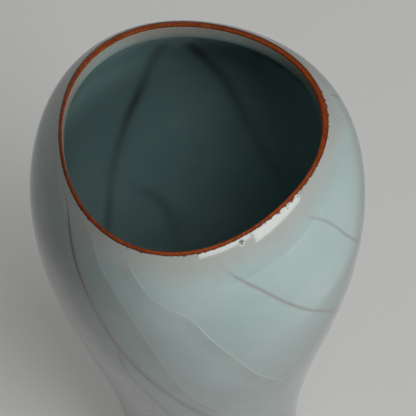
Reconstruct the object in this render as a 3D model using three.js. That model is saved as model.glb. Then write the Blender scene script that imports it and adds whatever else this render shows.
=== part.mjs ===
// A tall celadon vase: a thrown stoneware wall under thick crackled glaze, an iron-brown lip and a bare foot.
// Millimetres, +Z up. The origin is the middle of the foot, on the surface that the vase stands on.
import * as THREE from "three";

// Heights along the outside
const waistHeight = 22; // the narrowest place, above the foot
const bellyHeight = 250; // the widest place
const shoulderHeight = 50; // from the belly up to the top of the lip

// Radii of the outside
const footRadius = 43;
const waistRadius = 40;
const bellyRadius = 63;
const mouthRadius = 49;

// How the curves lean: higher numbers keep the shoulder full for longer and the flank slender for longer
const shoulderPower = 2.7;
const flankPower = 1.3;

// The wall, from the outside in
const outerCoat = 0.9;
const clayAtLip = 2;
const clayAtFoot = 6;
const innerCoat = 0.8;
const bondGap = 0.3; // parts each glaze coat, the lip and the foot from the clay that carries them

// A soft roll inside the mouth, where the wall is thicker before it thins to the lip
const lipRoll = 3.6; // how much thicker
const lipRollDepth = 8.5; // from the top of the lip down to the thickest place

// The lip: the clay's own edge, left bare between the two coats
const lipDepth = 4;
const lipRise = 0.9; // how much of its depth is the rounded top
const outerCoatDrop = 0.7; // from the top of the lip down to the outer coat's end
const innerCoatDrop = 2;
const lipTaper = 5; // height over which a coat thins out towards the lip
const coatNose = 1.2; // height over which the outer coat rounds off above the foot

// The floor and the foot
const floorThickness = 9;
const innerCorner = 16; // rounding between the floor and the wall, inside
const footRingHeight = 8;
const footRingWidth = 7;
const footChamfer = 1.2;
const baseCoat = 0.8;

// The mouth, pressed out of round while soft: a rounded triangle, slightly oval, leaning off the axis
const triangleSwell = 1.8;
const triangleTurn = THREE.MathUtils.degToRad(9);
const ovalSwell = 0.8;
const ovalTurn = THREE.MathUtils.degToRad(36);
const mouthShift = 3.1;
const mouthShiftTurn = THREE.MathUtils.degToRad(136);

// How finely the curves are divided
const sidesAround = 48;
const flareRings = 4;
const flankRings = 9;
const shoulderRings = 4;
const rollRings = 4;
const cornerSteps = 4;
const lipSteps = 6;
const lipSideSteps = 2;
const noseSteps = 3;
const leastRingStep = 1; // rings closer than this to a piece's end are left out

// Heights that follow from the sizes above
const lipHeight = bellyHeight + shoulderHeight;
const rollHeight = lipHeight - lipRollDepth;
const rollBottom = rollHeight - lipRollDepth;
const lipBase = lipHeight - lipDepth;
const clayTop = lipBase - bondGap;
const outerCoatTop = lipHeight - outerCoatDrop;
const innerCoatTop = lipHeight - innerCoatDrop;
const clayBottom = footRingHeight + bondGap;
const floorTop = clayBottom + floorThickness;

// Radius of the outside at a height: a foot flare, a flank that swells from waist to belly, and a shoulder
function outerRadius(height) {
  if (height >= bellyHeight) {
    const climb = (height - bellyHeight) / shoulderHeight;
    return bellyRadius - (bellyRadius - mouthRadius) * climb ** shoulderPower;
  }
  if (height >= waistHeight) {
    const climb = (height - waistHeight) / (bellyHeight - waistHeight);
    const swell = THREE.MathUtils.smoothstep(climb ** flankPower, 0, 1);
    return THREE.MathUtils.lerp(waistRadius, bellyRadius, swell);
  }
  const drop = (waistHeight - height) / waistHeight;
  return THREE.MathUtils.lerp(waistRadius, footRadius, drop * drop);
}

// Radius of the glaze coat's back, which faces the clay
function coatBackRadius(height) {
  return outerRadius(height) - outerCoat;
}

// Radius of the clay wall's outside
function clayOutsideRadius(height) {
  return coatBackRadius(height) - bondGap;
}

// How much the roll thickens the wall at a height: a smooth hump, thickest at the roll's own height
function rollThickness(height) {
  const away = Math.min(Math.abs(height - rollHeight) / lipRollDepth, 1);
  return lipRoll * (1 - away ** 2) ** 2;
}

// Radius of the clay wall's inside: the wall thins evenly from the foot to the lip, apart from the roll
function clayInsideRadius(height) {
  const wall = THREE.MathUtils.lerp(clayAtFoot, clayAtLip, height / lipHeight);
  return clayOutsideRadius(height) - wall - rollThickness(height);
}

// Heights of the rings between two ends, the ends included
function ringHeights(low, high) {
  const rings = [];
  for (let i = 0; i < flareRings; i += 1) {
    rings.push((waistHeight * i) / flareRings);
  }
  for (let i = 0; i <= flankRings; i += 1) {
    rings.push(THREE.MathUtils.lerp(waistHeight, bellyHeight, i / flankRings));
  }
  for (let i = 1; i <= shoulderRings; i += 1) {
    rings.push(THREE.MathUtils.lerp(bellyHeight, rollBottom, i / shoulderRings));
  }
  for (let i = 1; i < rollRings; i += 1) {
    rings.push(THREE.MathUtils.lerp(rollBottom, lipHeight, i / rollRings));
  }
  const between = rings.filter((ring) => ring > low + leastRingStep && ring < high - leastRingStep);
  return [low, ...between, high];
}

// Outline of one face from low to high, as radius and height
function risingFace(radiusAt, low, high) {
  return ringHeights(low, high).map((height) => new THREE.Vector2(radiusAt(height), height));
}

// End of a coat, from its face to its back: the coat thins as a quarter ellipse over a length, up or down
function nose(backRadiusAt, coat, end, length) {
  const points = [];
  for (let i = 1; i <= noseSteps; i += 1) {
    const turn = (Math.PI / 2) * (i / noseSteps);
    const height = end - length * (1 - Math.sin(turn));
    points.push(new THREE.Vector2(backRadiusAt(height) + coat * Math.cos(turn), height));
  }
  return points;
}

// Outline of the cup's inside, from its floor's middle up its wall, set inward from the clay by an offset
function cupFace(offset, high) {
  const corner = Math.min(innerCorner, clayInsideRadius(floorTop) / 2);
  const cornerHeight = floorTop + corner;
  const wallRadius = (height) => clayInsideRadius(height) - offset;
  const wall = risingFace(wallRadius, cornerHeight, high);
  const middleRadius = clayInsideRadius(cornerHeight) - corner;
  const turn = new THREE.EllipseCurve(
    middleRadius, cornerHeight, corner - offset, corner - offset, -Math.PI / 2, 0, false);
  const rounding = turn.getPoints(cornerSteps).slice(0, -1);
  return [new THREE.Vector2(0, floorTop + offset), ...rounding, ...wall];
}

// A body of revolution about +Z from an outline that runs up its outside and down its inside
function turned(outline) {
  const geometry = new THREE.LatheGeometry(outline, sidesAround);
  return geometry.rotateX(Math.PI / 2);
}

// Moves every vertex as the soft mouth was pressed: fully at the lip, fading to nothing at the belly
function pressMouth(geometry) {
  const position = geometry.getAttribute("position");
  for (let i = 0; i < position.count; i += 1) {
    const x = position.getX(i);
    const y = position.getY(i);
    const share = THREE.MathUtils.smoothstep(position.getZ(i), bellyHeight, lipHeight);
    const turn = Math.atan2(y, x);
    const triangle = triangleSwell * Math.cos(3 * (turn - triangleTurn));
    const oval = ovalSwell * Math.cos(2 * (turn - ovalTurn));
    const stretch = 1 + (share * (triangle + oval)) / mouthRadius;
    const shift = share * mouthShift;
    position.setX(i, x * stretch + shift * Math.cos(mouthShiftTurn));
    position.setY(i, y * stretch + shift * Math.sin(mouthShiftTurn));
  }
  geometry.computeVertexNormals();
  return geometry;
}

// The brown lip: a ring as thick as the clay wall, with a rounded top
function ironLip() {
  const roundBase = lipHeight - lipRise;
  const side = [];
  for (let i = 0; i <= lipSideSteps; i += 1) {
    side.push(THREE.MathUtils.lerp(lipBase, roundBase, i / lipSideSteps));
  }
  const outside = side.map((height) => new THREE.Vector2(clayOutsideRadius(height), height));
  const inside = side.map((height) => new THREE.Vector2(clayInsideRadius(height), height)).reverse();
  const round = [];
  for (let i = 1; i < lipSteps; i += 1) {
    const turn = Math.PI * (i / lipSteps);
    const height = roundBase + lipRise * Math.sin(turn);
    const middle = (clayOutsideRadius(height) + clayInsideRadius(height)) / 2;
    const half = (clayOutsideRadius(height) - clayInsideRadius(height)) / 2;
    round.push(new THREE.Vector2(middle + half * Math.cos(turn), height));
  }
  return [...outside, ...round, ...inside, outside[0].clone()];
}

// The outer glaze: a coat from just above the foot ring, rounded off there, to just under the top of the lip
function outerGlaze() {
  const face = risingFace(outerRadius, clayBottom + coatNose, outerCoatTop - lipTaper);
  const top = nose(coatBackRadius, outerCoat, outerCoatTop, lipTaper);
  const back = risingFace(coatBackRadius, clayBottom, outerCoatTop).reverse().slice(1, -1);
  const bottom = nose(coatBackRadius, outerCoat, clayBottom, -coatNose).reverse();
  return [...face, ...top, ...back, ...bottom, face[0].clone()];
}

// The inner glaze: a coat over the floor and the wall inside, which thins out under the lip
function innerGlaze() {
  const backRadius = (height) => clayInsideRadius(height) - bondGap;
  const back = cupFace(bondGap, innerCoatTop);
  const top = nose(backRadius, -innerCoat, innerCoatTop, lipTaper).reverse().slice(1);
  const face = cupFace(bondGap + innerCoat, innerCoatTop - lipTaper).reverse();
  return [...back, ...top, ...face];
}

// The thrown clay: floor and wall in one
function clayBody() {
  const middle = new THREE.Vector2(0, clayBottom);
  const outside = risingFace(clayOutsideRadius, clayBottom, clayTop);
  const inside = cupFace(0, clayTop).reverse();
  return [middle, ...outside, ...inside];
}

// Radius of the recess inside the foot ring
function recessRadius() {
  return coatBackRadius(0) - footRingWidth;
}

// The bare foot ring, set back by the glaze coat's thickness, with both lower edges chamfered
function footRing() {
  const inner = recessRadius();
  const outer = coatBackRadius(0);
  return [
    new THREE.Vector2(inner + footChamfer, 0),
    new THREE.Vector2(outer - footChamfer, 0),
    ...risingFace(coatBackRadius, footChamfer, footRingHeight),
    new THREE.Vector2(inner, footRingHeight),
    new THREE.Vector2(inner, footChamfer),
    new THREE.Vector2(inner + footChamfer, 0),
  ];
}

// The glazed disc in the recess
function baseGlaze() {
  const edge = recessRadius() - bondGap;
  return [
    new THREE.Vector2(0, footRingHeight - baseCoat),
    new THREE.Vector2(edge, footRingHeight - baseCoat),
    new THREE.Vector2(edge, footRingHeight),
    new THREE.Vector2(0, footRingHeight),
  ];
}

// A named piece of the vase with its own material
function piece(name, outline, look) {
  const material = new THREE.MeshStandardMaterial(look);
  const mesh = new THREE.Mesh(pressMouth(turned(outline)), material);
  mesh.name = name;
  return mesh;
}

const celadon = { color: 0x93a9a4, roughness: 0.12, metalness: 0 };
const celadonInside = { color: 0x7e9490, roughness: 0.15, metalness: 0 };
const celadonBase = { color: 0x8ba19b, roughness: 0.2, metalness: 0 };
const ironBrown = { color: 0x6b3a1c, roughness: 0.4, metalness: 0 };
const bareFoot = { color: 0x5a3a28, roughness: 0.85, metalness: 0 };
const stoneware = { color: 0x8a7a6a, roughness: 0.9, metalness: 0 };

const vase = new THREE.Group();
vase.name = "celadon_vase";
vase.add(piece("clay_body", clayBody(), stoneware));
vase.add(piece("foot_ring", footRing(), bareFoot));
vase.add(piece("base_glaze", baseGlaze(), celadonBase));
vase.add(piece("outer_glaze", outerGlaze(), celadon));
vase.add(piece("inner_glaze", innerGlaze(), celadonInside));
vase.add(piece("iron_lip", ironLip(), ironBrown));

export default vase;
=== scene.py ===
"""Looks of a tall celadon vase: thick crackled blue-green glaze, an iron-brown lip and a bare turned foot.

Metres, +Z up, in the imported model's frame. Each skin of the vase is a grid worked out with numpy: ring i
of an outline at column j round the axis. The crackle lies in the skins as measured distances to its lines.
"""

import logging
from collections.abc import Callable
from dataclasses import dataclass, field
from enum import Enum
from math import cos, pi, radians, sin

import bpy
import numpy as np
from mathutils import Matrix, Quaternion, Vector


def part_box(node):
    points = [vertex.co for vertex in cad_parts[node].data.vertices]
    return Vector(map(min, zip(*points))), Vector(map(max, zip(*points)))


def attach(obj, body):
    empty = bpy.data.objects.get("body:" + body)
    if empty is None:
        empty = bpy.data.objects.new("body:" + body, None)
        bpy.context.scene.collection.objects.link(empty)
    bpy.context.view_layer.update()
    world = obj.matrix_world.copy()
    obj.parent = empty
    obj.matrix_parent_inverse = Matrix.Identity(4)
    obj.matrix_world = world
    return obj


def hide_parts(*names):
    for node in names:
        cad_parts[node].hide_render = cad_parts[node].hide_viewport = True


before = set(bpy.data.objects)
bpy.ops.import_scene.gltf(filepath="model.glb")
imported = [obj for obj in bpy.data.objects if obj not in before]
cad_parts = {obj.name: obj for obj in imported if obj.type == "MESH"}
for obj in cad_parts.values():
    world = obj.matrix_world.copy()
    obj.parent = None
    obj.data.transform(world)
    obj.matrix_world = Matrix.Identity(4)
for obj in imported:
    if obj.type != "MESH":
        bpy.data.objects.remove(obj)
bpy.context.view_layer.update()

log = logging.getLogger("celadon_vase")
Array = np.ndarray
Colour = tuple[float, float, float, float]
Socket = bpy.types.NodeSocket
Value = Socket | float | Colour

ROOT = "root"
MM = 0.001
FULL_TURN = 2 * pi
# The offset, strength and half width that draw no crack
NO_CRACK = (1.0, 0.0, MM)


def srgb(red: int, green: int, blue: int) -> Colour:
    """Turns a colour written as 0 to 255 into the linear colour that a shader takes."""
    channels = np.array([red, green, blue]) / 255
    linear = np.where(channels <= 0.04045, channels / 12.92, ((channels + 0.055) / 1.055) ** 2.4)
    return (*(float(c) for c in linear), 1.0)


def smooth(value: Array, low: float, high: float) -> Array:
    """Rises smoothly from 0 at low to 1 at high, with level ends."""
    share = np.clip((value - low) / (high - low), 0, 1)
    return share * share * (3 - 2 * share)


def wrap(angle: Array) -> Array:
    """Brings an angle in radians to between minus half a turn and half a turn."""
    return (angle + pi) % FULL_TURN - pi


def even_turns(columns: int) -> Array:
    """Gives the angles of columns spread evenly round the axis."""
    return np.linspace(0, FULL_TURN, columns, endpoint=False)


def quarter_turn(steps: int) -> Array:
    """Gives the angles of a quarter turn in even steps, without its start."""
    return np.linspace(0, pi / 2, steps + 1)[1:]


def level_ways(turns: Array) -> Array:
    """Gives each column's level direction away from the axis, as one ring."""
    return np.stack([np.cos(turns), np.sin(turns), np.zeros_like(turns)], axis=-1)[None]


def ripples(points: Array, wavelength: float, seed: int, waves: int = 20) -> Array:
    """Adds up waves in random directions: a bumpy field between about -1 and 1.

    The field at a point p is the sum of sin(k . p + phase) over the waves, with |k| near a turn per
    wavelength, times 1.6 and over the root of twice the number of waves.

    Args:
        points: Places in metres, with x, y, z along the last axis.
        wavelength: The usual distance between two crests.
        seed: Picks the waves.
        waves: How many waves are added.

    Returns:
        The field, with the shape of points without its last axis.
    """
    shortest, longest, swing = 0.7, 1.5, 1.6
    draw = np.random.default_rng(seed)
    direction = draw.normal(size=(waves, 3))
    direction /= np.linalg.norm(direction, axis=1, keepdims=True)
    length = wavelength * draw.uniform(shortest, longest, waves)
    phase = draw.uniform(0, FULL_TURN, waves)
    total = np.zeros(points.shape[:-1])
    for i in range(waves):
        total += np.sin(points @ (direction[i] * FULL_TURN / length[i]) + phase[i])
    return swing * total / np.sqrt(2 * waves)


@dataclass(frozen=True)
class VaseForm:
    """Sizes of the thrown vase, and the curves that its clay and glaze follow."""

    lip_top: float
    lip_base: float
    belly_radius: float
    outer_top: float
    outer_bottom: float
    inner_top: float
    ring_top: float
    base_bottom: float
    base_radius: float
    floor_top: float
    belly_height: float = 0.250
    waist_height: float = 0.022
    mouth_radius: float = 0.049
    waist_radius: float = 0.040
    foot_radius: float = 0.043
    shoulder_power: float = 2.7
    flank_power: float = 1.3
    outer_coat: float = 0.0009
    inner_coat: float = 0.0008
    bond_gap: float = 0.0003
    clay_at_lip: float = 0.002
    clay_at_foot: float = 0.006
    roll: float = 0.0034
    roll_depth: float = 0.0095
    roll_reach: float = 0.028
    outer_taper: float = 0.014
    inner_taper: float = 0.005
    least_cover: float = -0.0004
    most_cover: float = 0.00065
    inner_cover: float = 0.0002
    inner_climb: float = 0.0009
    bare_turn: float = radians(65)
    bare_from: float = -0.35
    bare_full: float = 0.55
    corner: float = 0.016
    triangle_swell: float = 0.0018
    triangle_turn: float = radians(9)
    oval_swell: float = 0.0008
    oval_turn: float = radians(36)
    mouth_shift: float = 0.0031
    mouth_shift_turn: float = radians(136)

    @classmethod
    def from_frame(cls) -> "VaseForm":
        """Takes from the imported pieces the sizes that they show."""
        lip_low, lip_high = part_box("iron_lip")
        outer_low, outer_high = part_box("outer_glaze")
        inner_low, inner_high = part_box("inner_glaze")
        base_low, base_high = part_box("base_glaze")
        return cls(
            lip_top=lip_high.z,
            lip_base=lip_low.z,
            belly_radius=outer_high.x,
            outer_top=outer_high.z,
            outer_bottom=outer_low.z,
            inner_top=inner_high.z,
            ring_top=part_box("foot_ring")[1].z,
            base_bottom=base_low.z,
            base_radius=base_high.x,
            floor_top=inner_low.z - cls.bond_gap,
        )

    def outer_radius(self, height: Array) -> Array:
        """Gives the outside's radius at a height.

        Above the belly it is the belly's radius less a power of the climb. From waist to belly it swells as
        a smooth step of a power of the climb. Below the waist it flares with the square of the drop.
        """
        climb = np.clip((height - self.belly_height) / (self.lip_top - self.belly_height), 0, None)
        shoulder = self.belly_radius - (self.belly_radius - self.mouth_radius) * climb**self.shoulder_power
        rise = np.clip((height - self.waist_height) / (self.belly_height - self.waist_height), 0, 1)
        swell = smooth(rise**self.flank_power, 0, 1)
        flank = self.waist_radius + (self.belly_radius - self.waist_radius) * swell
        drop = np.clip((self.waist_height - height) / self.waist_height, 0, 1)
        flare = (self.foot_radius - self.waist_radius) * drop**2
        return np.where(height >= self.belly_height, shoulder, flank + flare)

    def coat_back(self, height: Array) -> Array:
        """Gives the radius of the outer glaze's back."""
        return self.outer_radius(height) - self.outer_coat

    def clay_outside(self, height: Array) -> Array:
        """Gives the radius of the clay's outside."""
        return self.coat_back(height) - self.bond_gap

    def clay_inside(self, height: Array) -> Array:
        """Gives the radius of the clay's inside.

        The wall thins evenly from the foot to the lip, apart from a soft roll inside the mouth. The roll is
        the square of 1 less the square of the distance from its middle, over its depth above the middle
        and over its longer reach below.
        """
        wall = self.clay_at_foot + (self.clay_at_lip - self.clay_at_foot) * height / self.lip_top
        above = height - self.lip_top + self.roll_depth
        away = np.clip(np.abs(above) / np.where(above > 0, self.roll_depth, self.roll_reach), 0, 1)
        return self.clay_outside(height) - wall - self.roll * (1 - away**2) ** 2

    def cover(self, turn: Array) -> Array:
        """Gives how far the outer glaze reaches over the lip: most at the front left, least opposite."""
        bareness = smooth(np.cos(turn - self.bare_turn), self.bare_from, self.bare_full)
        return self.most_cover + (self.least_cover - self.most_cover) * bareness

    def hollow_radius(self, height: Array) -> Array:
        """Gives the radius of the inner glaze's face."""
        return self.clay_inside(height) - self.bond_gap - self.inner_coat

    def press(self, turn: Array, radius: Array, height: Array) -> Array:
        """Places points given as angle, radius and height on the vase, whose mouth is out of round.

        A share that rises smoothly from belly to lip stretches the radius by three waves round the mouth
        and by two, and shifts the ring off the axis.

        Args:
            turn: Angles round the axis, from +X towards +Y.
            radius: Radii on the round vase.
            height: Heights above the floor.

        Returns:
            Points, with x, y, z along the last axis.
        """
        share = smooth(height, self.belly_height, self.lip_top)
        triangle = self.triangle_swell * np.cos(3 * (turn - self.triangle_turn))
        oval = self.oval_swell * np.cos(2 * (turn - self.oval_turn))
        stretched = radius * (1 + share * (triangle + oval) / self.mouth_radius)
        shift = share * self.mouth_shift
        x = stretched * np.cos(turn) + shift * cos(self.mouth_shift_turn)
        y = stretched * np.sin(turn) + shift * sin(self.mouth_shift_turn)
        return np.stack(np.broadcast_arrays(x, y, height), axis=-1)


def grid_points(form: VaseForm, turns: Array, outline: Array) -> Array:
    """Turns an outline of radius and height into rings of points, pressed as the vase is."""
    return form.press(turns[None, :], outline[:, :1], outline[:, 1:])


def grid_normals(points: Array) -> Array:
    """Gives each grid point's outward direction: the way round crossed with the way along the outline."""
    round_way = np.roll(points, -1, axis=1) - np.roll(points, 1, axis=1)
    along = np.gradient(points, axis=0)
    normals = np.cross(round_way, along)
    return normals / np.maximum(np.linalg.norm(normals, axis=-1, keepdims=True), 1e-12)


def add_object(name: str, data: bpy.types.ID) -> bpy.types.Object:
    """Puts a mesh, a lamp or a camera into the scene."""
    added = bpy.data.objects.new(name, data)
    bpy.context.scene.collection.objects.link(added)
    return added


def turned_mesh(name: str, rings: Array, poles: tuple[Array, Array] | None = None) -> bpy.types.Object:
    """Makes one closed, smooth mesh from rings of points.

    The quad between rings i and i + 1 and columns j and j + 1 runs (i, j), (i, j + 1), (i + 1, j + 1),
    (i + 1, j), which faces out where the outline runs up the outside and down the inside. Without poles the
    last ring joins the first. With poles a fan closes each end.

    Args:
        name: The object's name.
        rings: Points as rings, columns, x y z.
        poles: The points on the axis before the first ring and after the last.

    Returns:
        The object, in the scene and on the root body.
    """
    count, columns = rings.shape[:2]
    here = np.arange(columns)
    beside = (here + 1) % columns
    steps = np.arange(count if poles is None else count - 1)
    low = (steps * columns)[:, None]
    high = ((steps + 1) % count * columns)[:, None]
    quads = np.stack([low + here, low + beside, high + beside, high + here], axis=-1).reshape(-1, 4)
    points = rings.reshape(-1, 3)
    fans = np.zeros((0, 3), int)
    if poles is not None:
        first, last = len(points), len(points) + 1
        top = (count - 1) * columns
        start = np.stack([np.full(columns, first), beside, here], axis=-1)
        end = np.stack([top + here, top + beside, np.full(columns, last)], axis=-1)
        fans = np.concatenate([start, end])
        points = np.concatenate([points, np.stack(poles)])
    corners = np.concatenate([quads.ravel(), fans.ravel()])
    sizes = np.concatenate([np.full(len(quads), 4), np.full(len(fans), 3)])
    mesh = bpy.data.meshes.new(name)
    mesh.vertices.add(len(points))
    mesh.vertices.foreach_set("co", points.astype(np.float32).ravel())
    mesh.loops.add(len(corners))
    mesh.loops.foreach_set("vertex_index", corners.astype(np.int32))
    mesh.polygons.add(len(sizes))
    mesh.polygons.foreach_set("loop_start", (np.cumsum(sizes) - sizes).astype(np.int32))
    mesh.polygons.foreach_set("use_smooth", np.ones(len(sizes), bool))
    mesh.update(calc_edges=True)
    mesh.validate()
    piece = add_object(name, mesh)
    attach(piece, ROOT)
    log.info("%s: %d points, %d faces", name, len(points), len(sizes))
    return piece


def mark(piece: bpy.types.Object, name: str, values: Array) -> None:
    """Stores numbers or vectors on a piece's points; points past the end of the values get zeros."""
    mesh = piece.data
    vector = values.shape[-1] == 3
    width = 3 if vector else 1
    flat = np.zeros(len(mesh.vertices) * width, np.float32)
    given = values.astype(np.float32).ravel()
    flat[: len(given)] = given
    attribute = mesh.attributes.new(name, "FLOAT_VECTOR" if vector else "FLOAT", "POINT")
    attribute.data.foreach_set("vector" if vector else "value", flat)


def smooth_curve(places: tuple[tuple[float, float], ...], steps: int = 24) -> Array:
    """Runs a Catmull-Rom curve through places given as degrees and metres, and gives radians and metres."""
    given = np.array(places, float)
    given[:, 0] = np.radians(given[:, 0])
    padded = np.vstack([2 * given[0] - given[1], given, 2 * given[-1] - given[-2]])
    t = np.linspace(0, 1, steps, endpoint=False)[:, None]
    spans = []
    for i in range(len(given) - 1):
        a, b, c, d = padded[i : i + 4]
        cubic = 3 * b - 3 * c + d - a
        square = 2 * a - 5 * b + 4 * c - d
        spans.append(0.5 * (2 * b + (c - a) * t + square * t**2 + cubic * t**3))
    return np.vstack([*spans, given[-1:]])


@dataclass(frozen=True)
class Crack:
    """One line of the crackle: a smooth curve through places given as degrees and metres of height."""

    places: tuple[tuple[float, float], ...]
    half_width: float = 0.45 * MM
    end_width: float | None = None
    strength: float = 1.0
    fade_in: float = 5 * MM
    fade_out: float = 30 * MM

    def width_at(self, share: Array) -> Array:
        """Gives the half width at a share of the length: it changes evenly to the end's, if given."""
        end = self.half_width if self.end_width is None else self.end_width
        return self.half_width + (end - self.half_width) * share


def spiral(start: float, top: float, bottom: float, turn: float, sway: float, **look: float) -> Crack:
    """Makes a crack that winds down the vase.

    Its angle grows by turn in all, a little faster at the top, and sways once and a half on the way.

    Args:
        start: Degrees at the top.
        top: Height of the top.
        bottom: Height of the bottom.
        turn: Degrees from top to bottom.
        sway: Degrees to each side of the even spiral.
        look: The crack's width, strength and fades.

    Returns:
        The crack.
    """
    places, ease, sways = 8, 0.85, 1.5
    share = np.linspace(0, 1, places)
    degrees = start + turn * share**ease + sway * np.sin(sways * 2 * pi * share + radians(start))
    heights = top + (bottom - top) * share
    return Crack(tuple(zip(degrees.tolist(), heights.tolist())), **look)


@dataclass(frozen=True)
class Crackle:
    """A family of cracks that keep clear of each other, so that each point has one nearest crack."""

    name: str
    cracks: tuple[Crack, ...]
    fade_near: float = 2.0 * MM
    fade_far: float = 3.4 * MM
    reach: float = 6.0 * MM
    spare: float = 1.3
    pulse_swing: float = 0.25
    pulse_length: float = 30 * MM
    pulse_waves: int = 6

    def measure(
        self,
        form: VaseForm,
        radius_at: Callable[[Array], Array],
        turns: Array,
        heights: Array,
        points: Array,
    ) -> Array:
        """Measures grid points against the cracks.

        A crack is taken in short straight steps. For each step, only the grid points near it are looked at.
        A point's offset is what is left of the way from the step's start once the part along the step is
        taken away. Its sign is that of the offset along the outward direction crossed with the step's.

        Args:
            form: The vase's sizes.
            radius_at: The radius of the skin at a height.
            turns: The angle of each column.
            heights: The height of each ring.
            points: The grid points as rings, columns, x y z.

        Returns:
            Vectors of signed offset, strength and half width for each grid point.
        """
        normals = grid_normals(points)
        found = np.tile(NO_CRACK, (*points.shape[:2], 1))
        nearest = np.full(points.shape[:2], self.reach)
        for number, crack in enumerate(self.cracks):
            curve = smooth_curve(crack.places)
            line = form.press(curve[:, 0], radius_at(curve[:, 1]), curve[:, 1])
            steps = np.diff(line, axis=0)
            lengths = np.maximum(np.linalg.norm(steps, axis=1), 1e-9)
            past = np.concatenate([[0], np.cumsum(lengths)])
            beat = ripples(line, self.pulse_length, seed=number, waves=self.pulse_waves)
            pulse = 1 + self.pulse_swing * beat
            for k, step in enumerate(steps):
                along_way = step / lengths[k]
                rows, columns = self.near(curve[k], curve[k + 1], line[k], turns, heights)
                if not len(rows) or not len(columns):
                    continue
                block = np.ix_(rows, columns)
                way = points[block] - line[k]
                along = np.clip(way @ along_way, 0, lengths[k])
                offset = way - along[..., None] * along_way
                distance = np.linalg.norm(offset, axis=-1)
                side = np.sign((offset * np.cross(normals[block], along_way)).sum(-1))
                progress = past[k] + along
                ends = smooth(progress, 0, crack.fade_in) * smooth(past[-1] - progress, 0, crack.fade_out)
                close = 1 - smooth(distance, self.fade_near, self.fade_far)
                strength = crack.strength * ends * pulse[k] * close
                width = crack.width_at(progress / past[-1])
                closer = distance < nearest[block]
                nearest[block] = np.where(closer, distance, nearest[block])
                new = np.stack([side * distance, strength, width], axis=-1)
                found[block] = np.where(closer[..., None], new, found[block])
        return found

    def near(
        self, start: Array, end: Array, place: Array, turns: Array, heights: Array
    ) -> tuple[Array, Array]:
        """Picks the rings and columns within reach of one step of a crack.

        Args:
            start: Angle and height of the step's start.
            end: Angle and height of the step's end.
            place: The step's start in metres.
            turns: The angle of each column.
            heights: The height of each ring.

        Returns:
            The numbers of the rings and of the columns.
        """
        middle = (start + end) / 2
        half = np.abs(end - start) / 2
        room = self.reach / max(float(np.hypot(place[0], place[1])), self.reach)
        rows = np.flatnonzero(np.abs(heights - middle[1]) < half[1] + self.reach)
        columns = np.flatnonzero(np.abs(wrap(turns - middle[0])) < half[0] + self.spare * room)
        return rows, columns


class Sheet:
    """Adds nodes to one node tree; its methods give back the socket that holds their result."""

    def __init__(self, tree: bpy.types.NodeTree) -> None:
        """Takes the tree to write in."""
        self.tree = tree

    def node(
        self, kind: str, inputs: dict[int | str, Value] | None = None, **settings: object
    ) -> bpy.types.Node:
        """Adds a node, sets its properties, and feeds its inputs with sockets or plain values."""
        node = self.tree.nodes.new(kind)
        for name, value in settings.items():
            setattr(node, name, value)
        for key, value in (inputs or {}).items():
            if isinstance(value, Socket):
                self.tree.links.new(value, node.inputs[key])
            else:
                node.inputs[key].default_value = value
        return node

    def math(self, operation: str, a: Value, b: Value = 0.0, clamp: bool = False) -> Socket:
        """Adds a sum of one or two numbers."""
        return self.node("ShaderNodeMath", {0: a, 1: b}, operation=operation, use_clamp=clamp).outputs[0]

    def times(self, a: Value, b: Value) -> Socket:
        """Multiplies two numbers."""
        return self.math("MULTIPLY", a, b)

    def plus(self, a: Value, b: Value) -> Socket:
        """Adds two numbers."""
        return self.math("ADD", a, b)

    def mix(self, share: Value, a: Value, b: Value) -> Socket:
        """Mixes two colours."""
        return self.node("ShaderNodeMix", {0: share, 6: a, 7: b}, data_type="RGBA").outputs[2]

    def between(
        self, value: Value, low: Value, high: Value, to_low: float = 0.0, to_high: float = 1.0
    ) -> Socket:
        """Maps low to high smoothly onto another range, 0 to 1 if none is given."""
        inputs = {0: value, 1: low, 2: high, 3: to_low, 4: to_high}
        return self.node("ShaderNodeMapRange", inputs, interpolation_type="SMOOTHSTEP").outputs[0]

    def scale(self, size: Value) -> Value:
        """Gives the texture scale at which features are about as large as size, in metres."""
        return self.math("DIVIDE", 1.0, size) if isinstance(size, Socket) else 1 / size

    def noise(self, place: Value, size: Value, detail: float = 2.0) -> Socket:
        """Adds noise whose features are about as large as size, in metres."""
        inputs = {"Vector": place, "Scale": self.scale(size), "Detail": detail, "Roughness": 0.5}
        return self.node("ShaderNodeTexNoise", inputs).outputs[0]

    def place(self) -> Socket:
        """Gives the point's place in the vase's frame."""
        return self.node("ShaderNodeTexCoord").outputs["Object"]

    def height(self, place: Value) -> Socket:
        """Gives the height of a place above the floor."""
        return self.node("ShaderNodeSeparateXYZ", {0: place}).outputs[2]

    def stored(self, name: str, kind: str = "Vector") -> Socket:
        """Reads what is stored on the piece's points under a name."""
        return self.node("ShaderNodeAttribute", attribute_name=name).outputs[kind]

    def group(self, tree: bpy.types.NodeTree, **inputs: Value) -> bpy.types.Node:
        """Places a node group with its own values."""
        return self.node("ShaderNodeGroup", inputs, node_tree=tree)


def blank_sheet(owner: bpy.types.Material | bpy.types.World) -> Sheet:
    """Empties the nodes of a material or a world, and gives a sheet to write in."""
    owner.use_nodes = True
    owner.node_tree.nodes.clear()
    return Sheet(owner.node_tree)


class Effect(Enum):
    """Effects that several finishes share, each a node group that is built once."""

    CRACK_LINE = "crack_line"
    IRON_EDGE = "iron_edge"
    CLOUDS = "clouds"
    GRAIN = "grain"


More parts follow.
